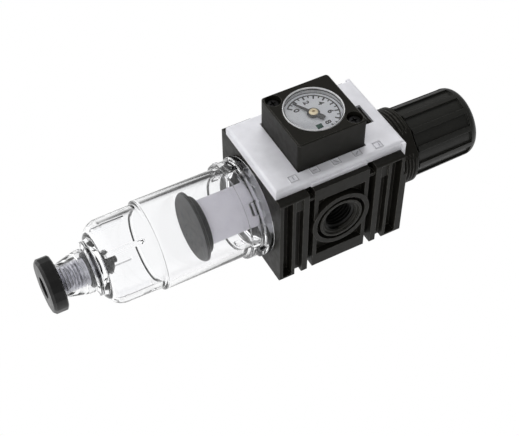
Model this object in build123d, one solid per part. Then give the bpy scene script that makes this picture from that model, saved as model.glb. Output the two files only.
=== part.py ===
from build123d import *
import math
import os

# A modular compressed-air filter regulator: clear bowl below, square body with a pipe port on each side,
# pressure knob above and a square gauge in the front cover.
# Frame: +Z along the main axis towards the knob, +X to the outlet port, -Y to the gauge.
# The origin is where the line of the two ports crosses the main axis. All sizes are in millimetres.

# ---- body
half_width = 23.0
front = -20.5
back = 22.5
bottom = -26.5
top = 28.5
# ---- G 1/4 ports: the wall is the thread's major radius
port_radius = 6.58
port_depth = 12.0
ring_radius = 12.4
# ---- ribs, slots and clamp channels on the port sides, as distances from the port line
pocket_end = 10.1
channel_start = 11.7
channel_end = 14.3
recess_start = 16.7
recess_end = 19.9
slot_start = 21.2
channel_depth = 5.0
slot_depth = 4.0
recess_depth = 2.6
pocket_depth = 3.2
plate_depth = 0.6
# ---- bores along the main axis
bowl_bore = 17.1
bowl_ceiling = -17.5
guide_bore = 7.05
outlet_chamber = 9.0
diaphragm_ledge = 19.5
bonnet_bore = 15.0
# ---- front cover and gauge
cover_front = -24.5
cover_half_width = 19.4
cover_wall = 1.6
lip_half_width = 20.3
lip_seat = 26.9
lip_back = -10.0
gauge_side = 28.8
gauge_front = -37.6
dial_face = -34.3
dial_radius = 10.8
gauge_bore = 11.65
gauge_screw_place = 10.9
screw_floor = -34.6
screw_head_radius = 2.35
needle_rest = -119.0
# ---- gauge feed boss, which shows through the cover's second window
feed_half_width = 5.0
feed_low = 17.4
feed_high = 23.6
# ---- bonnet, knob and adjusting screw
flange_radius = 20.0
flange_top = 31.0
collar_radius = 15.7
collar_top = 40.4
collar_pitch = 1.5
collar_thread_depth = 0.75
neck_radius = 12.0
neck_top = 50.0
spring_bore = 10.4
knob_low = 41.4
knob_high = 70.3
knob_radius = 14.6
knob_end_radius = 14.3
knob_panels = 12
panel_depth = 0.9
panel_top = 66.3
knob_roof = 67.4
screw_radius = 3.0
hexagon = 6.0
nut_low = 41.0
nut_high = 44.6
# ---- filter and bowl
filter_radius = 9.0
filter_low = -48.0
baffle_radius = 14.0
baffle_low = -52.0
baffle_floor = 0.8
bowl_radius = 17.7
bowl_flange = 19.9
skirt_radius = 19.2
skirt_low = -36.0
shoulder = -70.0
sump_radius = 16.6
sleeve_radius = 8.3
sleeve_tip_radius = 6.3
sleeve_low = -104.9
foot_radius = 10.6
seal_space_low = -96.8
stem_radius = 5.5
drain_pitch = 1.25
# ---- drain knob
drain_knob_radius = 10.6
drain_knob_high = -105.5
drain_knob_low = -111.0


def turned(*outline):
    """Solid of revolution about the main axis, from (radius, height) corners."""
    section = make_face(Polyline(*outline, close=True))
    return revolve(Plane.XZ * section, Axis.Z)


def tube(outer, inner, low, high):
    return turned((inner, low), (outer, low), (outer, high), (inner, high))


def disc(radius, low, high):
    return turned((0, low), (radius, low), (radius, high), (0, high))


def rod(radius, start, end):
    """Straight round bar between two points."""
    line = Edge.make_line(start, end)
    return extrude(Plane(start, z_dir=line % 0) * Circle(radius), line.length)


def block(x, y, z):
    """Box from its (low, high) pairs."""
    middle = [sum(pair) / 2 for pair in (x, y, z)]
    size = [pair[1] - pair[0] for pair in (x, y, z)]
    return Pos(*middle) * Box(*size)


def coil(wire, radius, low, high, turns):
    """Round-wire coil between two flat seats."""
    height = high - low - 2.2 * wire
    path = Pos(0, 0, low + 1.1 * wire) * Helix(height / turns, height, radius)
    return sweep(Plane(path @ 0, z_dir=path % 0) * Circle(wire), path)


def facing_front(shape):
    """Turns a shape built about the main axis so that its axis points to the front."""
    return Rot(90, 0, 0) * shape


def edges_at(shape, axis, value):
    """Edges lying in the plane where the axis reads value."""
    return shape.edges().filter_by_position(axis, value - 0.01, value + 0.01)


# ---------------------------------------------------------------- housing


def side_relief(side):
    """Everything cut from one port side: pocket, clamp channels, ribs and slots."""

    def cut(depth, y, z):
        outer = side * (half_width + 1)
        floor = side * (half_width - depth)
        return block(sorted((floor, outer)), y, z)

    parts = [
        cut(plate_depth, (front - 1, back + 1), (-channel_start, channel_start)),
        cut(pocket_depth, (front + 5.9, back - 6.3), (-pocket_end, pocket_end)),
    ]
    for end in (-1, 1):
        outer_slot = lip_seat - 1.2 if end > 0 else -bottom - 1.5
        channel = sorted((end * channel_start, end * channel_end))
        recess = sorted((end * recess_start, end * recess_end))
        slot = sorted((end * slot_start, end * outer_slot))
        parts += [
            cut(channel_depth, (front - 1, front + 3.5), channel),
            cut(channel_depth, (front + 4.7, back + 1), channel),
            cut(1.0, (front - 1, back + 1), channel),
            cut(recess_depth, (front + 7.5, back + 1), recess),
            cut(0.7, (front + 1.1, front + 8), recess),
            cut(slot_depth, (front + 1.1, back - 1.3), slot),
        ]
    return parts


def port(side):
    """Raised sealing rings of one port, and its threaded hole."""
    face = side * half_width

    def hole(radius, depth):
        return rod(radius, (face + side, 0, 0), (face - side * depth, 0, 0))

    boss = rod(ring_radius, (face - side * 6, 0, 0), (face, 0, 0))
    groove = hole(10.5, 4.0) - hole(9.1, 5.0)
    chamfer = Plane((face, 0, 0), z_dir=(-side, 0, 0)) * Pos(0, 0, 0.95) * Cone(7.2, port_radius, 0.7)
    cuts = [groove, hole(8.2, 0.6), chamfer, hole(port_radius, port_depth)]
    return boss, cuts


def air_passages():
    """Inlet down to the bowl, outlet chamber to the outlet port, and the gauge feed."""
    return [
        rod(3.0, (-14.0, 0, 0), (-14.0, 0, bowl_ceiling - 1)),
        rod(2.2, (6.0, 0, 7.4), (12.6, 0, 4.2)),
        rod(4.1, (0, front - 1, 0), (0, -12.6, 0)),
        rod(1.2, (0, -12.8, 0), (0, -12.8, 8.2)),
        rod(1.2, (0, -13.9, 8.2), (0, -8.0, 8.2)),
    ]


def main_body():
    shell = block((-half_width, half_width), (front, back), (bottom, top))
    shell = fillet(shell.edges().filter_by(Axis.Z), 0.8)
    for side in (-1, 1):
        for cut in side_relief(side):
            shell -= cut
        boss, cuts = port(side)
        shell += boss
        for cut in cuts:
            shell -= cut
    for y in (-1, 1):
        shell -= block((-17, 17), (back - 0.8, back + 1), sorted((y * 3.0 + 1, y * 22.0 + 1)))
    shell -= block((-half_width - 1, half_width + 1), (front - 1, lip_back), (lip_seat, top + 1))
    shell -= disc(bowl_bore, bottom - 1, bowl_ceiling)
    shell -= disc(guide_bore, bowl_ceiling - 1, 5.5)
    shell -= disc(outlet_chamber, 5.0, 17.0)
    shell -= disc(11.5, 16.0, diaphragm_ledge + 1)
    shell -= disc(bonnet_bore, diaphragm_ledge, top + 1)
    for passage in air_passages():
        shell -= passage
    for x, z in gauge_screw_places():
        shell -= rod(1.25, (x, front - 1, z), (x, front + 7.5, z))
    for x, z in cover_peg_places():
        shell -= rod(1.3, (x, front - 1, z), (x, front + 3.4, z))
    feed_front = front - 3.0
    shell += block((-feed_half_width, feed_half_width), (feed_front, front), (feed_low, feed_high))
    recess = (feed_half_width - 1.0, feed_low + 1.0, feed_high - 1.0)
    return shell - block((-recess[0], recess[0]), (feed_front - 1, feed_front + 2.0), recess[1:])


def cover_peg_places():
    return [(x, z) for x in (-16.6, 16.6) for z in (-23.5, 23.5)]


def front_cover():
    """Cover shell with windows for the gauge and its feed, a lip held under the bonnet, and locating pegs."""
    width = (-cover_half_width, cover_half_width)
    shell = block(width, (cover_front, front), (bottom, top))
    shell = fillet(edges_at(shell, Axis.Y, cover_front), 1.2)
    for x in (-1, 1):
        tab = block(sorted((x * 17, x * 20.0)), (cover_front + 2.2, front), (-11.9, 11.9))
        shell += fillet(edges_at(tab, Axis.Y, cover_front + 2.2), 0.5)
    shell += block((-lip_half_width, lip_half_width), (cover_front + 0.5, lip_back), (lip_seat, top))
    shell -= disc(bonnet_bore + 0.2, lip_seat - 1, top + 1)
    inner = cover_half_width - cover_wall
    shell -= block((-inner, inner), (cover_front + cover_wall, front + 1), (bottom + 1.4, lip_seat))
    opening = gauge_side / 2 + 0.15
    shell -= block((-opening, opening), (cover_front - 1, front + 1), (-opening, opening))
    opening = feed_half_width + 0.2
    shell -= block((-opening, opening), (cover_front - 1, front + 1), (feed_low - 0.2, feed_high + 0.2))
    for index in range(5):
        z = -17.6 + 9.0 * index
        shell += symbol_frame(16.35, z)
    for x, z in cover_peg_places():
        shell += rod(1.2, (x, cover_front + 1, z), (x, front + 3.2, z))
    return shell


def symbol_frame(x, z):
    """Small raised square outline on the cover."""
    face = (cover_front - 0.25, cover_front + 0.1)
    outer = block((x - 1.6, x + 1.6), face, (z - 1.7, z + 1.7))
    return outer - block((x - 1.3, x + 1.3), (face[0] - 1, cover_front), (z - 1.4, z + 1.4))


def thread_grooves(low, high, radius, pitch, depth):
    """V grooves of a thread, as rings to cut from a round bar; a narrow crest is left between them."""
    rings = []
    reach = 0.84 * pitch
    for index in range(int((high - low) / pitch)):
        z = low + pitch * (index + 0.5)
        rings.append(turned((radius - depth, z), (radius + depth, z - reach), (radius + depth, z + reach)))
    return rings


def bonnet():
    """Spring housing: skirt in the body, flange, threaded collar with two flats, and the knob's neck."""
    shape = turned(
        (12.6, 21.6), (14.8, 21.6), (14.8, top), (flange_radius, top),
        (flange_radius, flange_top - 0.5), (flange_radius - 0.5, flange_top), (collar_radius, flange_top),
        (collar_radius, collar_top - 0.6), (collar_radius - 0.6, collar_top), (neck_radius, collar_top),
        (neck_radius, 45.2), (11.3, 45.2), (11.3, 46.8), (neck_radius, 46.8), (neck_radius, neck_top - 0.6),
        (neck_radius - 0.6, neck_top), (3.6, neck_top), (3.6, 47.5), (spring_bore, 47.5),
        (spring_bore, 37.0), (12.6, 35.0),
    )
    thread = (flange_top + 0.5, collar_top - 0.3, collar_radius, collar_pitch, collar_thread_depth)
    for ring in thread_grooves(*thread):
        shape -= ring
    for turn in (-45, 135):
        flat = block((14.4, 17.5), (-9, 9), (flange_top, collar_top + 1))
        shape -= Rot(0, 0, turn) * flat
    for side in (0, 180):
        shape -= Rot(0, 0, side) * block((9, 11.5), (-1.7, 1.7), (33.0, 45.0))
    return shape


def valve_seat():
    """Ring with a raised lip that the poppet closes on."""
    return turned((3.0, 1.5), (3.5, 1.5), (4.1, 2.1), (7.0, 2.1), (7.0, 4.9), (3.6, 4.9), (3.0, 4.3))


def valve_guide():
    """Insert that closes the valve chamber, guides the poppet and carries the filter on a long post."""
    post_end = baffle_low + baffle_floor + 0.1
    shape = turned(
        (1.56, -8.6), (2.6, -8.6), (2.6, -9.6), (7.0, -9.6), (7.0, bowl_ceiling - 0.1),
        (9.6, bowl_ceiling - 0.1), (9.6, -19.4), (2.4, -19.4), (2.4, -49.5), (2.0, -50.0),
        (2.0, post_end + 0.3), (1.7, post_end), (0, post_end), (0, -16.5), (1.56, -16.5),
    )
    for index in range(6):
        shape -= Rot(0, 0, 60 * index) * rod(1.2, (4.6, 0, -8), (4.6, 0, -21))
    return shape


def filter_element():
    return tube(filter_radius, 6.2, filter_low, -19.5)


def swirl_deflector():
    """Ring of slanted vanes that spins the incoming air."""
    shape = tube(10.4, 9.7, -26.0, -18.0) + tube(13.6, 9.7, -18.9, -18.0)
    for index in range(12):
        vane = Pos(11.9, 0, -22.2) * Rot(35, 0, 0) * Box(3.2, 0.8, 7.0)
        shape += Rot(0, 0, 30 * index) * vane
    return shape


def filter_baffle():
    """Quiet-zone disc with a shallow cup that holds the filter, screwed onto the post by a blind hole."""
    rim_top = baffle_low + 1.3
    return turned(
        (0, baffle_low), (baffle_radius - 0.4, baffle_low), (baffle_radius, baffle_low + 0.4),
        (baffle_radius, rim_top - 0.3), (baffle_radius - 0.3, rim_top), (12.2, rim_top),
        (11.6, filter_low - 0.6), (11.1, filter_low - 0.1), (6.0, filter_low - 0.1), (2.5, filter_low - 0.6),
        (2.5, -49.4), (2.1, -49.9), (2.1, baffle_low + baffle_floor), (0, baffle_low + baffle_floor),
    )


# ---------------------------------------------------------------- gauge


def gauge_screw_places():
    return [(-gauge_screw_place, -gauge_screw_place), (gauge_screw_place, gauge_screw_place)]


def gauge_case():
    half = gauge_side / 2
    case = block((-half, half), (gauge_front, front - 0.1), (-half, half))
    case = fillet(case.edges().filter_by(Axis.Y), 1.4)
    case = chamfer(edges_at(case, Axis.Y, gauge_front), 0.5)
    case -= facing_front(disc(gauge_bore, -dial_face, -gauge_front + 1))
    case -= facing_front(disc(11.0, -dial_face - 0.5, -dial_face + 1))
    case -= facing_front(disc(10.0, 24.5, -dial_face))
    case += facing_front(disc(4.0, 13.4, 21.0))
    case -= facing_front(disc(1.2, 12.0, 25.0))
    case -= facing_front(tube(5.0, 3.2, 16.0, 18.0))
    for x, z in gauge_screw_places():
        case -= rod(3.1, (x, gauge_front - 1, z), (x, screw_floor, z))
        case -= rod(1.4, (x, screw_floor - 1, z), (x, front + 1, z))
    return case


def gauge_seal():
    return facing_front(tube(4.05, 3.25, 16.2, 17.8))


def gauge_lens():
    """Clear cup whose skirt stands on the dial's edge."""
    face = -gauge_front
    return facing_front(turned(
        (0, face - 1.4), (10.7, face - 1.4), (10.7, -dial_face + 0.1), (11.5, -dial_face + 0.1),
        (11.5, face + 0.1), (11.2, face + 0.4), (10.8, face + 0.4), (10.4, face), (0, face),
    ))


def gauge_dial():
    return facing_front(tube(dial_radius, 0.8, -dial_face - 0.5, -dial_face))


def bourdon_coil():
    """Helical pressure tube that turns the needle's spindle directly."""
    return facing_front(coil(0.7, 5.6, 24.7, 32.4, 2.5) - disc(4.0, 20, 40))


def needle_shape():
    """Tapered pointer with a counterweight tail, drawn pointing along +X."""
    tip = make_face(Polyline((0, 0.7), (8.8, 0.17), (8.8, -0.17), (0, -0.7), close=True))
    upper_tail = ((0, 0.8), (-3.6, 1.1), (-4.6, 0.9))
    lower_tail = [(x, -y) for x, y in reversed(upper_tail)]
    return tip + make_face(Polyline(*upper_tail, *lower_tail, close=True)) + Circle(2.4)


def gauge_needle():
    flat = extrude(Rot(0, 0, 90 - needle_rest) * needle_shape(), 0.4)
    return facing_front(Pos(0, 0, -dial_face + 0.5) * flat - disc(0.5, 30, 40))


def gauge_spindle():
    return facing_front(disc(0.5, 26.0, -dial_face + 1.0))


def gauge_hub():
    """Small pressed cap that holds the needle on its spindle."""
    low = -dial_face + 0.9
    high = low + 0.7
    outline = ((0.5, low), (1.75, low), (1.75, high - 0.3), (1.4, high), (0.6, high), (0.5, high - 0.2))
    return facing_front(turned(*outline))


def gauge_screws():
    """Two pan-head screws with cross recesses, in opposite corners."""
    screws = []
    face = screw_floor - 1.6
    recess = (face - 1, face + 1.0)
    for x, z in gauge_screw_places():
        head = fillet(edges_at(rod(screw_head_radius, (x, face, z), (x, screw_floor, z)), Axis.Y, face), 0.5)
        shank = rod(1.2, (x, face + 1.2, z), (x, front + 7.0, z))
        cross = block((x - 1.3, x + 1.3), recess, (z - 0.3, z + 0.3))
        cross += block((x - 0.3, x + 0.3), recess, (z - 1.3, z + 1.3))
        screws.append(head + shank - cross)
    return Compound(screws)


# ---------------------------------------------------------------- regulator


def adjusting_screw():
    """Threaded spindle with a thrust flange under the neck and a hexagon inside the knob."""
    shape = disc(screw_radius, 33.0, 46.0) + disc(6.0, 45.4, 47.3) + disc(3.5, 47.0, 50.4)
    across = hexagon / math.sqrt(3)
    shape += extrude(Pos(0, 0, 50.4) * RegularPolygon(across, 6), 9.6)
    return shape


def thrust_washer():
    return tube(6.2, 3.7, 50.0, 50.4) - disc(3.55, 49, 51)


def pressure_knob():
    """Cup-shaped knob: slightly tapered grip with recessed panels, hexagon socket inside."""
    grip = turned((0, knob_low), (knob_radius, knob_low), (knob_end_radius, knob_high), (0, knob_high))
    grip = fillet(edges_at(grip, Axis.Z, knob_high), 4.0)
    hollow_ring = turned(
        (knob_radius - panel_depth, knob_low - 1), (knob_radius + 1, knob_low - 1),
        (knob_radius + 1, panel_top), (knob_end_radius - panel_depth, panel_top),
    )
    panel = hollow_ring & block((10, 17), (-2.6, 2.6), (knob_low - 1, panel_top))
    for index in range(knob_panels):
        grip -= Rot(0, 0, 360 / knob_panels * index + 15) * panel
    cavity = disc(12.4, knob_low - 1, knob_roof) - disc(5.6, 53.5, knob_roof + 1)
    for index in range(6):
        cavity -= Rot(0, 0, 60 * index) * block((5.0, 13.0), (-0.5, 0.5), (56.0, knob_roof + 1))
    grip -= cavity
    socket = (hexagon + 0.12) / math.sqrt(3)
    return grip - extrude(Pos(0, 0, 53.0) * RegularPolygon(socket, 6), 10.4)


def detent_ring():
    return tube(12.25, 11.45, 45.4, 46.6)


def adjusting_nut():
    """Spring seat that climbs the screw, kept from turning by two keys."""
    shape = tube(9.9, screw_radius + 0.06, nut_low, nut_high)
    shape = fillet(edges_at(shape, Axis.Z, nut_high).sort_by(SortBy.RADIUS)[-1], 0.6)
    shape += tube(6.4, screw_radius + 0.06, nut_low - 2.2, nut_low)
    for side in (0, 180):
        shape += Rot(0, 0, side) * block((9, 11.2), (-1.4, 1.4), (nut_low, nut_high - 0.8))
    return shape


def diaphragm_plate():
    return turned((2.05, 22.1), (9.4, 22.1), (9.4, 23.0), (9.0, 23.4), (6.3, 23.4), (6.3, 26.2), (2.05, 26.2))


def diaphragm():
    """Rubber disc with one raised convolution and a flat rim."""
    return turned(
        (2.0, 21.0), (9.7, 21.0), (10.2, 22.2), (11.1, 22.2), (11.7, 19.6), (14.7, 19.6), (14.7, 20.8),
        (12.4, 20.8), (11.7, 23.1), (9.8, 23.1), (9.5, 22.0), (2.0, 22.0),
    )


def slip_ring():
    """Thin washer that keeps the bonnet from dragging the diaphragm round as it is screwed in."""
    return tube(14.7, 12.7, 20.85, 21.5)


def diaphragm_disc():
    """Lower plate whose stud passes through the diaphragm and the upper plate."""
    return turned(
        (1.05, 18.0), (2.6, 18.0), (3.0, 20.0), (8.6, 20.0), (8.6, 20.95), (1.95, 20.95), (1.95, 26.9),
        (1.05, 26.9),
    )


def valve_pin():
    return disc(1.0, 0.0, 18.4)


def valve_poppet():
    """Brass poppet with a seal cup and a guide stem."""
    return turned(
        (0, -14.4), (1.5, -14.4), (1.5, -1.4), (4.7, -1.4), (4.7, 1.2), (4.3, 1.2), (4.3, -0.1), (0, -0.1),
    )


def poppet_seal():
    return tube(4.25, 1.05, -0.05, 1.45)


def main_spring():
    return coil(1.1, 7.9, 23.45, nut_low - 0.05, 4.5)


def poppet_spring():
    return coil(0.4, 3.3, -9.55, -1.45, 5)


# ---------------------------------------------------------------- bowl and drain


def bowl():
    """Clear bowl: threaded neck, grip skirt with lugs, sump and the drain's sleeve."""
    shape = turned(
        (14.5, -18.6), (15.5, -18.6), (15.5, -20.2), (14.9, -20.2), (14.9, -22.6), (16.8, -22.6),
        (16.8, -26.9), (bowl_flange, -26.9), (bowl_flange, -29.2), (skirt_radius, -29.8),
        (skirt_radius, skirt_low), (bowl_radius, skirt_low + 0.7), (bowl_radius, shoulder),
        (sump_radius, shoulder - 0.8), (sump_radius - 0.2, -86.0), (15.4, -88.4), (13.2, -90.6),
        (foot_radius, -91.8), (foot_radius, -93.3), (sleeve_radius + 0.2, -93.6),
        (sleeve_radius, seal_space_low), (sleeve_tip_radius, sleeve_low), (5.6, sleeve_low),
        (5.6, seal_space_low), (7.2, seal_space_low), (7.2, -92.6), (5.6, -92.6), (5.6, -89.6),
        (12.2, -89.2), (13.8, -87.6), (14.4, -85.5), (14.6, shoulder), (15.5, shoulder + 1.2),
        (15.5, -31.0), (14.5, -29.5),
    )
    for index in range(6):
        lug = block((18.6, 20.7), (-2.6, 2.6), (skirt_low - 0.2, -30.6))
        shape += Rot(0, 0, 60 * index + 15) * fillet(lug.edges().filter_by(Axis.Z), 0.6)
    for index in range(4):
        rib = block((11.5, 15.0), (-0.6, 0.6), (-88.0, -74.0))
        shape += Rot(0, 0, 90 * index + 30) * rib
    return shape


def bowl_seal():
    """O-ring in the groove of the bowl's neck."""
    return turned(
        (15.0, -22.1), (15.4, -22.5), (16.6, -22.5), (17.04, -22.0), (17.04, -20.8), (16.6, -20.3),
        (15.6, -20.3), (15.0, -20.8),
    )


def drain_stem():
    """Threaded drain spindle with an outlet bore and a short hose nozzle."""
    shape = turned(
        (1.2, -110.4), (2.2, -110.4), (2.4, -109.2), (2.4, drain_knob_high), (stem_radius, drain_knob_high),
        (stem_radius, -89.9), (3.0, -89.9), (3.0, -88.9), (0, -88.9), (0, -90.5), (1.2, -90.5),
    )
    for ring in thread_grooves(sleeve_low + 0.3, seal_space_low, stem_radius, drain_pitch, 0.5):
        shape -= ring
    return shape - rod(0.9, (-4, 0, -91.6), (4, 0, -91.6))


def drain_seal():
    return turned(
        (5.6, -94.0), (6.0, -94.4), (6.8, -94.4), (7.1, -94.0), (7.1, -93.1), (6.8, -92.7), (6.0, -92.7),
        (5.6, -93.1),
    )


def drain_plug():
    """Ribbed valve plug on top of the drain spindle."""
    shape = turned(
        (0, -88.9), (3.0, -88.9), (3.0, -89.8), (4.7, -89.8), (4.7, -85.2), (3.6, -84.0), (1.3, -84.0),
        (1.3, -82.4), (1.0, -82.1), (0, -82.1),
    )
    for ring in thread_grooves(-89.6, -85.2, 4.7, 1.4, 0.7):
        shape -= ring
    return shape


def drain_knob():
    """Faceted hand knob with a round recess for the nozzle."""
    outer = extrude(Pos(0, 0, drain_knob_low) * RegularPolygon(11.3, 8), drain_knob_high - drain_knob_low)
    shape = outer & disc(drain_knob_radius, drain_knob_low, drain_knob_high)
    shape = chamfer(edges_at(shape, Axis.Z, drain_knob_low), 0.9)
    shape = chamfer(edges_at(shape, Axis.Z, drain_knob_high), 0.5)
    shape -= disc(4.3, drain_knob_low - 1, -107.4)
    return shape - disc(2.45, -108, drain_knob_high + 1)


# ---------------------------------------------------------------- writing the nodes

makers = [
    main_body, front_cover, bonnet, valve_seat, valve_guide, filter_element, swirl_deflector, filter_baffle,
    gauge_case, gauge_seal, gauge_lens, gauge_dial, bourdon_coil, gauge_needle, gauge_spindle, gauge_hub,
    gauge_screws, adjusting_screw, thrust_washer, pressure_knob, detent_ring, adjusting_nut, diaphragm_plate,
    diaphragm, slip_ring, diaphragm_disc, valve_pin, valve_poppet, poppet_seal, main_spring, poppet_spring,
    bowl, bowl_seal, drain_stem, drain_seal, drain_plug, drain_knob,
]

os.makedirs("parts", exist_ok=True)
for maker in makers:
    export_step(maker(), f"parts/{maker.__name__}.step")
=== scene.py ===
import math
import bmesh
import bpy
from mathutils import Matrix, Quaternion, Vector


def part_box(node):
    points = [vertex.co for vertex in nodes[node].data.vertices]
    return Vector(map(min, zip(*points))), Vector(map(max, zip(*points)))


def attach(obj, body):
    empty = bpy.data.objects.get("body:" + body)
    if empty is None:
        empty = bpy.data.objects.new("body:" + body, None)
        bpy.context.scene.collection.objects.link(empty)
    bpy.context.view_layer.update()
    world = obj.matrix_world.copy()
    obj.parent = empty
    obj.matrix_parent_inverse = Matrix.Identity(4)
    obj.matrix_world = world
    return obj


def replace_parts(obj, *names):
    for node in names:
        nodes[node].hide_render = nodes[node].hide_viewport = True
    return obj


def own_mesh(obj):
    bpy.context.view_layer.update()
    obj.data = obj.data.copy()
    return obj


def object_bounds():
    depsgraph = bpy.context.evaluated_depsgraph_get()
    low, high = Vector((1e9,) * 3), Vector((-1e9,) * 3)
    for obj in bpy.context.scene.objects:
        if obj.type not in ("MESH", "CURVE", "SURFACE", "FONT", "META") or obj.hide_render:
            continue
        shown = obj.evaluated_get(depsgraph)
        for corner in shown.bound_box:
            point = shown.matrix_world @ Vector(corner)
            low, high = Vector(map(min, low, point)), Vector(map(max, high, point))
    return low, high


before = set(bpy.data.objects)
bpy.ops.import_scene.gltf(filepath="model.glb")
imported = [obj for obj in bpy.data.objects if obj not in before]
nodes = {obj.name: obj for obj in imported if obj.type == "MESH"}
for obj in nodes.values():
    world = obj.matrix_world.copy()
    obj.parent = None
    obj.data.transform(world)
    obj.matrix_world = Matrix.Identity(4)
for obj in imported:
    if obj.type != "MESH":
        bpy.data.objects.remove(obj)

# The looks of a compressed-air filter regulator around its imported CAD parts: moulded and clear plastics,
# the printed dial, helical threads and a moulded bowl. Sizes in the helpers below are in millimetres.

MM = 0.001

# The studio: directions out from the unit, strengths of light, and the floor's sizes in metres. Each cone is
# two angles in degrees off a direction, between which the light changes.
TENT_TOP = (-0.66, -0.66, 0.36)
TENT_CONE = (80, 20)
TENT_HIGH = 0.34
ROOM = 0.2
PAPER_SIDE = (0, 1, 0)
PAPER_CONE = (96, 72)
PAPER = 0.95
INSIDE_CLEAR_PARTS = 0.66
FLAG = (-0.87, 0.07, 0.47)
FLAG_CONE = (23, 12)
FLAG_DARK = 0.08
FLOOR_DROP = 0.14
FLOOR_HALF = 30.0
FLOOR_GLOW = 0.4

cad_low, cad_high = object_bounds()


# ---------------------------------------------------------------- materials


class Look:
    """A procedural material being put together around one Principled shader."""

    def __init__(self, name):
        self.material = bpy.data.materials.new(name)
        self.material.use_nodes = True
        self.tree = self.material.node_tree
        self.shader = self.tree.nodes["Principled BSDF"]
        self.place = self.node("ShaderNodeTexCoord").outputs["Object"]

    def node(self, kind, **settings):
        made = self.tree.nodes.new(kind)
        for key, value in settings.items():
            setattr(made, key, value)
        return made

    def put(self, socket, value):
        """Gives an input a value, or links another node's output to it."""
        if isinstance(value, bpy.types.NodeSocket):
            self.tree.links.new(value, socket)
        else:
            socket.default_value = value

    def set(self, **values):
        """Sets the shader's own sockets, such as Base_Color for Base Color."""
        for key, value in values.items():
            self.put(self.shader.inputs[key.replace("_", " ")], value)
        return self

    def noise(self, size, detail=3.0, stretch=(1, 1, 1)):
        """Noise between 0 and 1 whose features are size millimetres wide."""
        mapping = self.node("ShaderNodeMapping")
        self.put(mapping.inputs["Vector"], self.place)
        mapping.inputs["Scale"].default_value = [1 / (size * MM * s) for s in stretch]
        noise = self.node("ShaderNodeTexNoise")
        self.put(noise.inputs["Vector"], mapping.outputs["Vector"])
        noise.inputs["Scale"].default_value = 1.0
        noise.inputs["Detail"].default_value = detail
        return noise.outputs["Fac"]

    def between(self, factor, low, high, start=0.3, end=0.7):
        """Maps a 0 to 1 factor onto the range from low to high."""
        ranged = self.node("ShaderNodeMapRange")
        self.put(ranged.inputs["Value"], factor)
        for name, value in (("From Min", start), ("From Max", end), ("To Min", low), ("To Max", high)):
            ranged.inputs[name].default_value = value
        return ranged.outputs["Result"]

    def mix(self, factor, first, second):
        """Mixes two colours; the node's colour sockets are inputs 6 and 7 and output 2."""
        mixed = self.node("ShaderNodeMix", data_type="RGBA")
        for index, value in ((0, factor), (6, first), (7, second)):
            self.put(mixed.inputs[index], value)
        return mixed.outputs[2]

    def math(self, operation, first, second=0.0):
        made = self.node("ShaderNodeMath", operation=operation)
        self.put(made.inputs[0], first)
        self.put(made.inputs[1], second)
        return made.outputs[0]

    def vector(self, operation, first, second):
        made = self.node("ShaderNodeVectorMath", operation=operation)
        self.put(made.inputs[0], first)
        self.put(made.inputs[1], second)
        return made.outputs["Value"] if operation == "DOT_PRODUCT" else made.outputs["Vector"]

    def edges(self, radius):
        """A mask, 1 within radius millimetres of an edge and 0 on the faces, and the rounded normal."""
        bevel = self.node("ShaderNodeBevel", samples=4)
        bevel.inputs["Radius"].default_value = radius * MM
        flat = self.node("ShaderNodeNewGeometry").outputs["Normal"]
        straight = self.vector("DOT_PRODUCT", bevel.outputs["Normal"], flat)
        return self.between(straight, 1.0, 0.0, 0.75, 0.995), bevel.outputs["Normal"]

    def relief(self, height, depth, normal=None):
        """Bump of depth millimetres from a 0 to 1 height."""
        bump = self.node("ShaderNodeBump")
        bump.inputs["Strength"].default_value = 1.0
        bump.inputs["Distance"].default_value = depth * MM
        self.put(bump.inputs["Height"], height)
        if normal is not None:
            self.put(bump.inputs["Normal"], normal)
        return bump.outputs["Normal"]


def grey(value, warmth=0.0):
    return (value * (1 + warmth), value, value * (1 - warmth), 1)


def moulded(name, colour, edge_highlight_colour, roughness, grain=0.25, gloss=0.5, edge=0.3, depth=0.012):
    """Injection-moulded plastic: fine spark-eroded grain, faint mottling, and a painted highlight along the
    edges, a lighter colour broken up by noise, where the edges are also a little glossier.
    """
    look = Look(name)
    mask, rounded = look.edges(edge)
    mottle = look.noise(7.0)
    grain_height = look.noise(grain, 2.0)
    darker = tuple(0.86 * c for c in colour[:3]) + (1,)
    base = look.mix(look.between(mottle, 0.0, 1.0), darker, colour)
    # Painted highlight: the edges take the lighter edge colour, more or less of it as noise varies.
    edge_highlight_strength = look.math("MULTIPLY", mask, look.between(look.noise(1.6, 4.0), 0.25, 1.0, 0.35, 0.65))
    look.set(
        Base_Color=look.mix(edge_highlight_strength, base, edge_highlight_colour),
        Roughness=look.math("SUBTRACT", look.between(look.noise(2.5), roughness - 0.05, roughness + 0.06),
                            look.math("MULTIPLY", mask, 0.1)),
        Normal=look.relief(grain_height, depth, rounded),
        Specular_IOR_Level=gloss,
    )
    return look


# Each moulded look below gives its face colour and then the lighter colour of its painted edge highlight.
def housing_look():
    return moulded("charcoal_nylon", (0.0115, 0.0108, 0.0085, 1), (0.19, 0.185, 0.165, 1), 0.46,
                   grain=0.3, gloss=0.16, edge=0.32)


def shaded_look():
    """The housing's plastic inside its ports, as a darker copy of it that paints in the shade there."""
    return moulded("shade_darkened_nylon", (0.004, 0.004, 0.0035, 1), (0.03, 0.03, 0.027, 1), 0.36,
                   grain=0.3, gloss=0.2, edge=0.15)


def knob_look():
    return moulded("black_nylon", (0.0155, 0.0155, 0.0135, 1), (0.06, 0.06, 0.055, 1), 0.4,
                   grain=0.35, gloss=0.3)


def cover_look():
    return moulded("pale_grey_polymer", (0.80, 0.80, 0.84, 1), (1.0, 1.0, 1.0, 1), 0.33,
                   grain=0.4, gloss=0.5, depth=0.006)


def drain_look():
    return moulded("black_acetal", grey(0.006), grey(0.16), 0.34, grain=0.4, gloss=0.35, edge=0.4)


def baffle_look():
    return moulded("dark_grey_acetal", grey(0.009, 0.02), grey(0.5), 0.4,
                   grain=0.4, gloss=0.15, edge=0.22)


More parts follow.
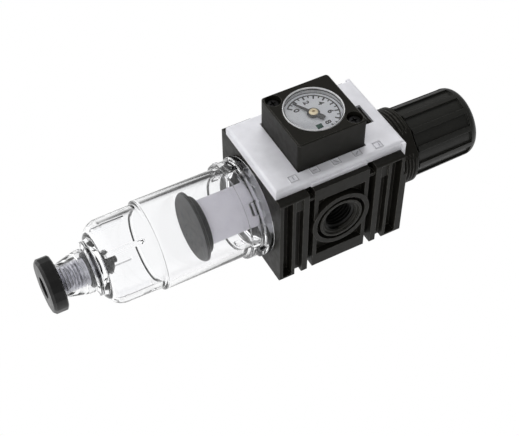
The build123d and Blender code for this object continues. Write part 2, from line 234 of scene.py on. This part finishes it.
def inner_look():
    look = moulded("natural_acetal", (0.72, 0.72, 0.76, 1), (0.8, 0.8, 0.82, 1), 0.38,
                   grain=0.4, gloss=0.5, depth=0.005)
    return look.set(Subsurface_Weight=0.15, Subsurface_Radius=(0.002, 0.002, 0.002))


def filter_look():
    """Sintered beads pressed together: open pores and a faint lavender tint."""
    look = Look("sintered_polyethylene")
    cells = look.node("ShaderNodeTexVoronoi")
    look.put(cells.inputs["Vector"], look.place)
    cells.inputs["Scale"].default_value = 1 / (0.35 * MM)
    pores = look.between(cells.outputs["Distance"], 0.0, 1.0, 0.15, 0.75)
    # Painted shade: the gaps between beads, sunk by the bump below, are also painted a darker lavender.
    tint = look.mix(pores, (0.93, 0.91, 0.98, 1), (0.76, 0.74, 0.83, 1))
    shade = look.mix(look.between(look.noise(5.0), 0.0, 1.0), tint, (0.89, 0.87, 0.95, 1))
    look.set(Base_Color=shade, Roughness=look.between(look.noise(1.0), 0.5, 0.7), Subsurface_Weight=0.2,
             Subsurface_Radius=(0.003, 0.003, 0.003), Normal=look.relief(pores, -0.04))
    return look


def clear_look(name, tint, index, haze_depth):
    """Clear plastic: smooth and glossy, with slight moulding ripples and faint haze."""
    look = Look(name)
    haze = look.between(look.noise(9.0), 0.0, haze_depth, 0.35, 0.75)
    waves = look.relief(look.noise(6.0, 1.0), 0.01)
    look.set(Base_Color=tint, Roughness=haze, IOR=index, Transmission_Weight=1.0, Specular_IOR_Level=0.25,
             Normal=waves)
    return look


def rim_look():
    """Frosted edge of the lens, which gathers the light that enters its face."""
    look = Look("frosted_lens_edge")
    frost = look.noise(0.3, 2.0)
    shade = look.mix(look.between(look.noise(2.0), 0.0, 1.0), (0.85, 0.86, 0.88, 1), (1.0, 1.0, 1.0, 1))
    look.set(Base_Color=shade, Roughness=look.between(frost, 0.12, 0.3), IOR=1.5, Transmission_Weight=0.35,
             Normal=look.relief(frost, 0.004))
    return look


def stem_look():
    """Grey translucent acetal with a cut thread."""
    look = Look("translucent_acetal")
    shade = look.mix(look.between(look.noise(3.0), 0.0, 1.0), (0.22, 0.22, 0.25, 1), (0.62, 0.62, 0.67, 1))
    look.set(Base_Color=shade, Metallic=0.85, Roughness=look.between(look.noise(1.2), 0.06, 0.14), IOR=1.48,
             Transmission_Weight=0.5, Normal=look.relief(look.noise(0.5), 0.01))
    return look


def rubber_look():
    look = Look("nitrile_rubber")
    bloom = look.between(look.noise(1.5, 5.0), 0.0, 1.0, 0.4, 0.75)
    look.set(Base_Color=look.mix(bloom, grey(0.010), grey(0.03)), Roughness=look.between(bloom, 0.45, 0.62),
             Normal=look.relief(look.noise(0.2), 0.01))
    return look


def metal_look(name, colour, tarnish, roughness, stretch=(1, 1, 1), grain=0.12):
    """Machined or drawn metal: fine tool marks, drawn out along stretch, and patches of tarnish."""
    look = Look(name)
    mask, rounded = look.edges(0.12)
    marks = look.noise(grain, 2.0, stretch)
    patches = look.between(look.noise(2.2, 4.0), 0.0, 1.0, 0.4, 0.72)
    base = look.mix(patches, colour, tarnish)
    # Painted highlight: the edges take a lighter metal colour.
    lighter_metal_edge = tuple(min(1, 1.15 * c) for c in colour[:3]) + (1,)
    look.set(Base_Color=look.mix(mask, base, lighter_metal_edge), Metallic=1.0,
             Roughness=look.between(marks, roughness - 0.08, roughness + 0.1),
             Normal=look.relief(marks, 0.006, rounded))
    return look


def brass_look():
    return metal_look("machined_brass", (0.72, 0.62, 0.42, 1), (0.48, 0.38, 0.22, 1), 0.32)


def steel_look():
    return metal_look("zinc_plated_steel", (0.62, 0.62, 0.64, 1), (0.45, 0.45, 0.47, 1), 0.3)


def dark_steel_look():
    return metal_look("black_oxide_steel", (0.06, 0.06, 0.062, 1), (0.03, 0.028, 0.026, 1), 0.35)


def spring_look():
    return metal_look("drawn_spring_wire", (0.56, 0.56, 0.58, 1), (0.38, 0.38, 0.4, 1), 0.25,
                      stretch=(1, 1, 6))


def dial_look():
    """White-lacquered dial with a fine orange-peel and a trace of blue."""
    look = Look("dial_lacquer")
    shade = look.mix(look.between(look.noise(4.0), 0.0, 1.0), (0.82, 0.84, 0.88, 1), (0.90, 0.91, 0.94, 1))
    look.set(Base_Color=shade, Roughness=look.between(look.noise(0.8), 0.3, 0.42),
             Normal=look.relief(look.noise(0.4), 0.004))
    return look


def ink_look(name, colour, thin):
    """Screen-printed ink that lets a little of the face through where it is thin."""
    look = Look(name)
    cover = look.between(look.noise(0.25, 3.0), 0.0, 1.0, 0.3, 0.8)
    look.set(Base_Color=look.mix(cover, colour, thin), Roughness=look.between(look.noise(0.5), 0.4, 0.55),
             Normal=look.relief(look.noise(0.15), 0.003))
    return look


def finish_nodes(looks):
    """Gives every CAD node the detailed material of its record slot."""
    for part in nodes.values():
        for place in part.material_slots:
            place.material = looks[place.material.name].material


# ---------------------------------------------------------------- geometry helpers


def new_piece(name, mesh, look, body):
    piece = bpy.data.objects.new(name, mesh)
    bpy.context.scene.collection.objects.link(piece)
    piece.data.materials.clear()
    piece.data.materials.append(look.material)
    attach(piece, body)
    return piece


def smooth(mesh, degrees=32):
    """Smooth shading, with edges kept crisp where faces meet at more than that angle."""
    mesh.shade_smooth()
    mesh.set_sharp_from_angle(angle=math.radians(degrees))


def finished_mesh(name, build):
    """The mesh that a bmesh was built up for."""
    mesh = bpy.data.meshes.new(name)
    build.to_mesh(mesh)
    build.free()
    return mesh


def grid_mesh(name, rows, around=True):
    """Mesh from closed rows of points in millimetres, each row joined to the next.

    With around the last row joins the first; without it both ends are capped.
    """
    build = bmesh.new()
    made = [[build.verts.new([c * MM for c in point]) for point in row] for row in rows]
    count, length = len(made), len(made[0])
    for i in range(count if around else count - 1):
        for j in range(length):
            after, beside = (i + 1) % count, (j + 1) % length
            build.faces.new((made[i][j], made[after][j], made[after][beside], made[i][beside]))
    if not around:
        build.faces.new(made[0])
        build.faces.new(reversed(made[-1]))
    bmesh.ops.recalc_face_normals(build, faces=build.faces)
    return finished_mesh(name, build)


def rounded_outline(corners, steps=4):
    """Closed outline of (radius, height, corner radius) with each corner turned into an arc."""
    points = []
    for index, (r, z, size) in enumerate(corners):
        corner = Vector((r, z))
        before = Vector(corners[index - 1][:2]) - corner
        after = Vector(corners[(index + 1) % len(corners)][:2]) - corner
        if size == 0:
            points.append(corner)
            continue
        reach = min(size, 0.45 * before.length, 0.45 * after.length)
        start = corner + before.normalized() * reach
        end = corner + after.normalized() * reach
        for step in range(steps + 1):
            t = step / steps
            points.append(start * (1 - t) ** 2 + corner * 2 * t * (1 - t) + end * t ** 2)
    return points


def lathe(name, outline, place, columns, shape=None):
    """Closed ring of an outline of (radius, height); place turns radius, height and angle into a point."""
    rows = []
    for column in range(columns):
        angle = 2 * math.pi * column / columns
        rows.append([place(shape(r, z, angle) if shape else r, z, angle) for r, z in outline])
    return grid_mesh(name, rows)


def about_main_axis(r, z, angle):
    return (r * math.cos(angle), r * math.sin(angle), z)


def about_gauge_axis(r, depth, angle):
    return (r * math.cos(angle), -depth, r * math.sin(angle))


def ramp(value, start, end):
    """0 before start, 1 after end, and smooth between."""
    t = min(1.0, max(0.0, (value - start) / (end - start)))
    return t * t * (3 - 2 * t)


def off_nearest(angle, count, first):
    """Angle in degrees to the nearest of count equally spaced places, the first at first degrees."""
    pitch = 360 / count
    return abs((math.degrees(angle) - first + pitch / 2) % pitch - pitch / 2)


# ---------------------------------------------------------------- bowl and lens


def bowl_wall(r, z, angle):
    """Radius with the six grip lugs above the skirt's edge and the four ribs inside the sump."""
    lug_count, lug_first, lug_height = 6, 15, 1.5
    rib_count, rib_first, rib_height = 4, 30, 2.6
    skirt_start, skirt_full = 17.9, 19.1
    lug = lug_height * ramp(off_nearest(angle, lug_count, lug_first), 8.6, 6.4)
    if -36.3 < z < -30.1 and r > skirt_start:
        return r + lug * ramp(z, -30.2, -31.0) * ramp(z, -34.2, -33.0) * ramp(r, skirt_start, skirt_full)
    rib = rib_height * ramp(off_nearest(angle, rib_count, rib_first), 3.4, 1.8)
    if -88.5 < z < -73.0 and 11.9 < r < 14.8:
        return r - rib * ramp(z, -73.6, -74.6) * ramp(z, -88.3, -87.0)
    return r


def bowl_piece(look):
    """Clear bowl with moulded roundings: neck, flange, grip skirt, sump, foot and drain sleeve."""
    corners = (
        (14.5, -18.6, 0.2), (15.5, -18.6, 0.3), (15.5, -20.2, 0.1), (14.9, -20.2, 0.1), (14.9, -22.6, 0.1),
        (16.8, -22.6, 0.3), (16.8, -26.9, 0.3), (19.9, -26.9, 0.7), (19.9, -29.2, 0.6), (19.2, -29.8, 0.4),
        (19.2, -30.2, 0), (19.2, -30.4, 0), (19.2, -30.6, 0), (19.2, -30.8, 0), (19.2, -31.0, 0),
        (19.2, -33.0, 0), (19.2, -33.3, 0), (19.2, -33.6, 0), (19.2, -33.9, 0), (19.2, -34.2, 0),
        (19.2, -36.0, 0.6), (17.7, -35.3, 0.4), (17.7, -70.0, 0.25), (16.6, -70.7, 0.2), (16.4, -86.0, 3.0),
        (15.4, -88.4, 2.0), (13.2, -90.6, 2.0), (10.6, -91.8, 0.4), (10.6, -93.3, 0.5), (8.5, -93.6, 0.2),
        (8.3, -96.8, 0.8), (6.3, -104.9, 0.3), (5.6, -104.9, 0.1), (5.6, -96.8, 0.1), (7.2, -96.8, 0.2),
        (7.2, -92.6, 0.2), (5.6, -92.6, 0.1), (5.6, -89.6, 0.6), (12.2, -89.2, 1.5), (13.8, -87.6, 0.8),
        (14.1, -86.8, 0), (14.4, -85.5, 0.4), (14.5, -74.8, 0), (14.5, -74.4, 0), (14.5, -74.1, 0),
        (14.5, -73.8, 0), (14.5, -73.4, 0), (14.6, -70.0, 0.6), (15.5, -68.8, 0.6), (15.5, -31.0, 0.8),
        (14.5, -29.5, 0.8),
    )
    mesh = lathe("clear_bowl", rounded_outline(corners), about_main_axis, 320, bowl_wall)
    smooth(mesh, 40)
    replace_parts(new_piece("clear_bowl", mesh, look, "bowl"), "bowl")


def disc_mesh(name, outline, place, columns=128):
    """Solid round plate: the outline runs from one flat face to the other, and a polygon closes each."""
    build = bmesh.new()
    rings = []
    for r, z in outline:
        angles = [2 * math.pi * column / columns for column in range(columns)]
        rings.append([build.verts.new([c * MM for c in place(r, z, angle)]) for angle in angles])
    for ring, following in zip(rings, rings[1:]):
        for i in range(columns):
            j = (i + 1) % columns
            build.faces.new((ring[i], ring[j], following[j], following[i]))
    for ring in (rings[0], rings[-1]):
        build.faces.new(ring)
    bmesh.ops.recalc_face_normals(build, faces=build.faces)
    return finished_mesh(name, build)


def lens_pieces(window_look, edge_look):
    """The gauge's clear window and the frosted skirt and bead around it."""
    face = -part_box("gauge_lens")[0].y / MM - 0.4
    back = face - 3.2
    outline = [
        (10.6, face - 1.4), (10.9, face - 1.3), (10.95, face - 1.1), (10.95, face - 0.2), (10.75, face),
    ]
    mesh = disc_mesh("lens_window", outline, about_gauge_axis)
    smooth(mesh, 40)
    window = new_piece("lens_window", mesh, window_look, "root")
    corners = ((11.0, back, 0.1), (11.5, back, 0.1), (11.5, face + 0.1, 0.2), (11.35, face + 0.4, 0.15),
               (11.15, face + 0.4, 0.15), (11.0, face + 0.1, 0.1))
    mesh = lathe("lens_edge", rounded_outline(corners, 3), about_gauge_axis, 128)
    smooth(mesh, 50)
    new_piece("lens_edge", mesh, edge_look, "root")
    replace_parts(window, "gauge_lens")


# ---------------------------------------------------------------- springs and diaphragm


def shortening_piece(node, name, look, body):
    """The node's own shape, copied into a piece that moves whole with the body.
    """
    piece = new_piece(name, nodes[node].data.copy(), look, body)
    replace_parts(piece, node)
    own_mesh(piece)


def elastic_pieces(steel, rubber):
    """The springs that the adjusting nut and the poppet press together, and the diaphragm."""
    shortening_piece("main_spring", "coiled_main_spring", steel, "spring_nut")
    shortening_piece("poppet_spring", "coiled_poppet_spring", steel, "valve")
    shortening_piece("diaphragm", "flexing_diaphragm", rubber, "valve")


# ---------------------------------------------------------------- threads


def thread_ridge(name, wall, crest, pitch, start, end, toward, look):
    """Helical ridge standing from wall to crest about X, from start to end; toward is the end's direction."""
    per_turn = 72
    count = int(abs(end - start) / pitch * per_turn)
    rows = []
    for step in range(count + 1):
        turn = 2 * math.pi * step / per_turn
        centre = start + toward * pitch * step / per_turn
        fade = min(1.0, step / (per_turn / 4), (count - step) / (per_turn / 4))
        top = wall + (crest - wall) * max(fade, 0.05)
        section = ((wall, -0.46), (top, -0.10), (top, 0.10), (wall, 0.46))
        rows.append([
            (centre + pitch * offset, radius * math.cos(turn), radius * math.sin(turn) * toward)
            for radius, offset in section
        ])
    mesh = grid_mesh(name, rows, around=False)
    smooth(mesh)
    new_piece(name, mesh, look, "root")


def port_threads(look):
    """G 1/4 threads: 19 turns to the inch, in the two ports."""
    pitch = 25.4 / 19
    wall, crest = 6.6, 5.75
    mouth, bottom = 21.6, 11.4
    for name, side in (("right_port_thread", 1), ("left_port_thread", -1)):
        thread_ridge(name, wall, crest, pitch, side * mouth, side * bottom, -side, look)


# ---------------------------------------------------------------- dial


def dial_point(radius, bearing, lift=0.0):
    """Point on the dial, with the bearing in degrees clockwise from the top as seen from the front."""
    angle = math.radians(bearing)
    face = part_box("gauge_dial")[0].y / MM
    return (radius * math.sin(angle), face - lift, radius * math.cos(angle))


def bearing_of(bar):
    """The scale runs clockwise from 0 bar at lower left to 10 bar at lower right."""
    return -135 + 25 * bar


def sector(build, inner, outer, start, end, lift=0.03):
    """Flat ring sector printed on the dial."""
    steps = max(1, int(abs(end - start) / 3))
    bearings = [start + (end - start) * i / steps for i in range(steps + 1)]
    near = [build.verts.new([c * MM for c in dial_point(inner, b, lift)]) for b in bearings]
    far = [build.verts.new([c * MM for c in dial_point(outer, b, lift)]) for b in bearings]
    for i in range(steps):
        build.faces.new((near[i], far[i], far[i + 1], near[i + 1]))


def dial_scale(look):
    """Scale arc, a tick for every half bar and a longer one for every bar."""
    arc_inner, arc_outer, arc_overrun = 9.35, 9.85, 1.5
    tick_outer, tick_lift = 9.5, 0.04
    build = bmesh.new()
    sector(build, arc_inner, arc_outer, bearing_of(0) - arc_overrun, bearing_of(10) + arc_overrun)
    for half_bars in range(21):
        bearing = bearing_of(half_bars / 2)
        tick_inner, half_width = (7.8, 2.1) if half_bars % 2 == 0 else (8.4, 1.5)
        sector(build, tick_inner, tick_outer, bearing - half_width, bearing + half_width, tick_lift)
    new_piece("dial_scale", finished_mesh("dial_scale", build), look, "root")


def number_mesh(text, size):
    """Flat mesh of a number, centred in the XY plane, its size in millimetres; the offset thickens it."""
    curve = bpy.data.curves.new("number", "FONT")
    curve.body = text
    curve.size = size * MM
    curve.align_x = "CENTER"
    curve.align_y = "CENTER"
    curve.offset = 0.13 * MM
    holder = bpy.data.objects.new("number", curve)
    bpy.context.scene.collection.objects.link(holder)
    mesh = bpy.data.meshes.new_from_object(holder.evaluated_get(bpy.context.evaluated_depsgraph_get()))
    bpy.data.objects.remove(holder)
    return mesh


def cover_symbols(look):
    """Plain printed squares along the cover's edge, each with one generic stroke pattern."""
    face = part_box("front_cover")[0].y / MM - 0.02
    strokes = (
        ((-0.8, 0), (0.8, 0)), ((0, -0.8), (0, 0.8)), ((-0.7, -0.7), (0.7, 0.7)), ((-0.7, 0.7), (0.7, -0.7)),
        ((-0.8, 0.5), (0.8, 0.5)),
    )
    column, lowest, spacing = 16.35, -17.6, 9.0
    outline = [Vector(c) for c in ((-1.45, -1.55), (1.45, -1.55), (1.45, 1.55), (-1.45, 1.55))]
    frame_width, stroke_width = 0.28, 0.4
    build = bmesh.new()

    def line(start, end, width):
        along = (Vector(end) - Vector(start)).normalized()
        across = Vector((-along.y, along.x)) * width / 2
        corners = [Vector(start) - across, Vector(end) - across, Vector(end) + across, Vector(start) + across]
        build.faces.new([build.verts.new((c.x * MM, face * MM, c.y * MM)) for c in corners])

    for index, (start, end) in enumerate(strokes):
        middle = Vector((column, lowest + spacing * index))
        corners = [middle + corner for corner in outline]
        for first, second in zip(corners, corners[1:] + corners[:1]):
            line(first, second, frame_width)
        line(middle + Vector(start), middle + Vector(end), stroke_width)
    new_piece("cover_symbols", finished_mesh("cover_symbols", build), look, "root")


def set_point_mark(look):
    """Small green rectangle printed beside the hub."""
    centre = Vector((6.0, 0, -0.9))
    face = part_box("gauge_dial")[0].y / MM - 0.04
    build = bmesh.new()
    corners = ((-1.0, -1.15), (1.0, -1.15), (1.0, 1.15), (-1.0, 1.15))
    places = [((centre.x + x) * MM, face * MM, (centre.z + z) * MM) for x, z in corners]
    build.faces.new([build.verts.new(place) for place in places])
    new_piece("set_point_mark", finished_mesh("set_point_mark", build), look, "root")


def dial_numbers(look):
    """The even numbers of the scale below 10, upright on the dial; the green mark stands where 10 would."""
    radius, size, lift = 6.3, 3.0, 0.03
    upright = Matrix.Rotation(math.radians(90), 4, "X")
    build = bmesh.new()
    for bar in range(0, 9, 2):
        mesh = number_mesh(str(bar), size)
        place = Vector([c * MM for c in dial_point(radius, bearing_of(bar), lift)])
        mesh.transform(Matrix.Translation(place) @ upright)
        build.from_mesh(mesh)
    new_piece("dial_numbers", finished_mesh("dial_numbers", build), look, "root")


# ---------------------------------------------------------------- studio


def make_camera():
    """Looks up at the unit from below, in front and to its right, rolled so that it lies on its side."""
    data = bpy.data.cameras.new("camera")
    data.sensor_width = 36.0
    data.lens = 78.28
    data.clip_start = 0.01
    camera = bpy.data.objects.new("camera", data)
    bpy.context.scene.collection.objects.link(camera)
    azimuth, elevation, roll = math.radians(37.5), math.radians(-18.1), math.radians(67.56)
    back = Vector((math.sin(azimuth) * math.cos(elevation), -math.cos(azimuth) * math.cos(elevation),
                   math.sin(elevation)))
    camera.rotation_mode = "QUATERNION"
    camera.rotation_quaternion = (-back).to_track_quat("-Z", "Y") @ Quaternion((0, 0, 1), roll)
    camera.location = (0.2553, -0.3222, -0.1598)
    bpy.context.scene.camera = camera


def softbox(name, toward, distance, size, power):
    """Square area light aimed at the port line, which lights surfaces but isn't seen itself."""
    data = bpy.data.lights.new(name, "AREA")
    data.size = size
    data.energy = power
    light = bpy.data.objects.new(name, data)
    bpy.context.scene.collection.objects.link(light)
    direction = Vector(toward).normalized()
    light.location = direction * distance
    light.rotation_mode = "QUATERNION"
    light.rotation_quaternion = (-direction).to_track_quat("-Z", "Y")
    light.visible_camera = False
    light.visible_transmission = False
    light.visible_glossy = False


class Sky:
    """Node helpers for the world: a white studio tent whose light falls off away from its top."""

    def __init__(self):
        self.world = bpy.data.worlds.new("studio")
        self.world.use_nodes = True
        self.tree = self.world.node_tree
        self.tree.nodes.clear()
        self.direction = self.tree.nodes.new("ShaderNodeTexCoord").outputs["Generated"]

    def node(self, kind, *inputs, **settings):
        made = self.tree.nodes.new(kind)
        for key, value in settings.items():
            setattr(made, key, value)
        for socket, value in zip(made.inputs, inputs):
            if isinstance(value, bpy.types.NodeSocket):
                self.tree.links.new(value, socket)
            else:
                socket.default_value = value
        return made

    def toward(self, axis, low, high, start, end):
        """From low to high as the direction turns from start to end degrees off an axis."""
        dot = self.node("ShaderNodeVectorMath", self.direction, Vector(axis).normalized(),
                        operation="DOT_PRODUCT")
        limits = [math.cos(math.radians(angle)) for angle in (start, end)]
        ranged = self.node("ShaderNodeMapRange", dot.outputs["Value"], limits[0], limits[1], low, high,
                           interpolation_type="SMOOTHSTEP")
        return ranged.outputs["Result"]

    def maths(self, operation, first, second):
        return self.node("ShaderNodeMath", first, second, operation=operation).outputs[0]


def make_world():
    """White for the eye and behind clear plastic, with a dark flag that draws its edges.

    All other rays meet a dim room in front of the unit and bright paper behind it, and the light that
    reaches the pieces inside clear plastic is evened out, because lamps don't shine through it here.
    """
    sky = Sky()
    overhead = sky.toward(TENT_TOP, ROOM, TENT_HIGH, *TENT_CONE)
    paper = sky.toward(PAPER_SIDE, 0.0, PAPER, *PAPER_CONE)
    tent = sky.node("ShaderNodeBackground", (1, 1, 1, 1), sky.maths("MAXIMUM", overhead, paper))
    flag = sky.toward(FLAG, 1.0, FLAG_DARK, *FLAG_CONE)
    behind_glass = sky.node("ShaderNodeBackground", (1, 1, 1, 1), flag)
    plain = sky.node("ShaderNodeBackground", (1, 1, 1, 1), 1.0)
    path = sky.node("ShaderNodeLightPath").outputs
    through = sky.maths("GREATER_THAN", path["Transmission Depth"], 0.5)
    undiffused = sky.maths("LESS_THAN", path["Diffuse Depth"], 0.5)
    in_glass = sky.maths("MULTIPLY", through, undiffused)
    inside = sky.node("ShaderNodeBackground", (1, 1, 1, 1), sky.maths("MAXIMUM", paper, INSIDE_CLEAR_PARTS))
    around = sky.node("ShaderNodeMixShader", through, tent.outputs[0], inside.outputs[0])
    lit = sky.node("ShaderNodeMixShader", in_glass, around.outputs[0], behind_glass.outputs[0])
    seen = sky.node("ShaderNodeMixShader", path["Is Camera Ray"], lit.outputs[0], plain.outputs[0])
    sky.node("ShaderNodeOutputWorld", seen.outputs[0])
    bpy.context.scene.world = sky.world


def make_floor():
    """Pale floor well below the unit, which hangs from its pipe."""
    height = cad_low.z - FLOOR_DROP
    mesh = bpy.data.meshes.new("floor")
    signs = ((-1, -1), (1, -1), (1, 1), (-1, 1))
    mesh.from_pydata([(x * FLOOR_HALF, y * FLOOR_HALF, height) for x, y in signs], [], [(0, 1, 2, 3)])
    floor = bpy.data.objects.new("floor", mesh)
    bpy.context.scene.collection.objects.link(floor)
    look = Look("pale_floor")
    shade = look.mix(look.between(look.noise(60.0), 0.0, 1.0), (0.86, 0.86, 0.865, 1), (0.9, 0.9, 0.9, 1))
    look.set(Base_Color=shade, Roughness=0.6, Emission_Color=(1, 1, 1, 1), Emission_Strength=FLOOR_GLOW)
    mesh.materials.append(look.material)


make_camera()
make_world()
make_floor()
softbox("top_softbox", TENT_TOP, distance=0.7, size=0.5, power=3.0)

looks = {
    "housing": housing_look(),
    "cover": cover_look(),
    "knob": knob_look(),
    "clear": clear_look("clear_polycarbonate", (0.984, 0.986, 0.992, 1), index=1.42, haze_depth=0.03),
    "lens": clear_look("lens_polycarbonate", (0.99, 0.992, 0.995, 1), index=1.5, haze_depth=0.006),
    "filter": filter_look(),
    "inner_plastic": inner_look(),
    "baffle": baffle_look(),
    "dark_steel": dark_steel_look(),
    "rubber": rubber_look(),
    "dial": dial_look(),
    "needle": ink_look("black_lacquer", grey(0.012), grey(0.02)),
    "brass": brass_look(),
    "steel": steel_look(),
    "spring_steel": spring_look(),
    "drain_clear": stem_look(),
    "drain_black": drain_look(),
}
finish_nodes(looks)
black_ink = ink_look("black_dial_ink", grey(0.006), grey(0.02))
port_threads(shaded_look())
bowl_piece(looks["clear"])
lens_pieces(looks["lens"], rim_look())
elastic_pieces(looks["spring_steel"], looks["rubber"])
dial_scale(black_ink)
cover_symbols(ink_look("grey_cover_ink", (0.34, 0.34, 0.37, 1), (0.55, 0.55, 0.58, 1)))
set_point_mark(ink_look("green_dial_ink", (0.02, 0.09, 0.06, 1), (0.05, 0.14, 0.1, 1)))
dial_numbers(black_ink)

bpy.context.scene.view_settings.view_transform = "Standard"
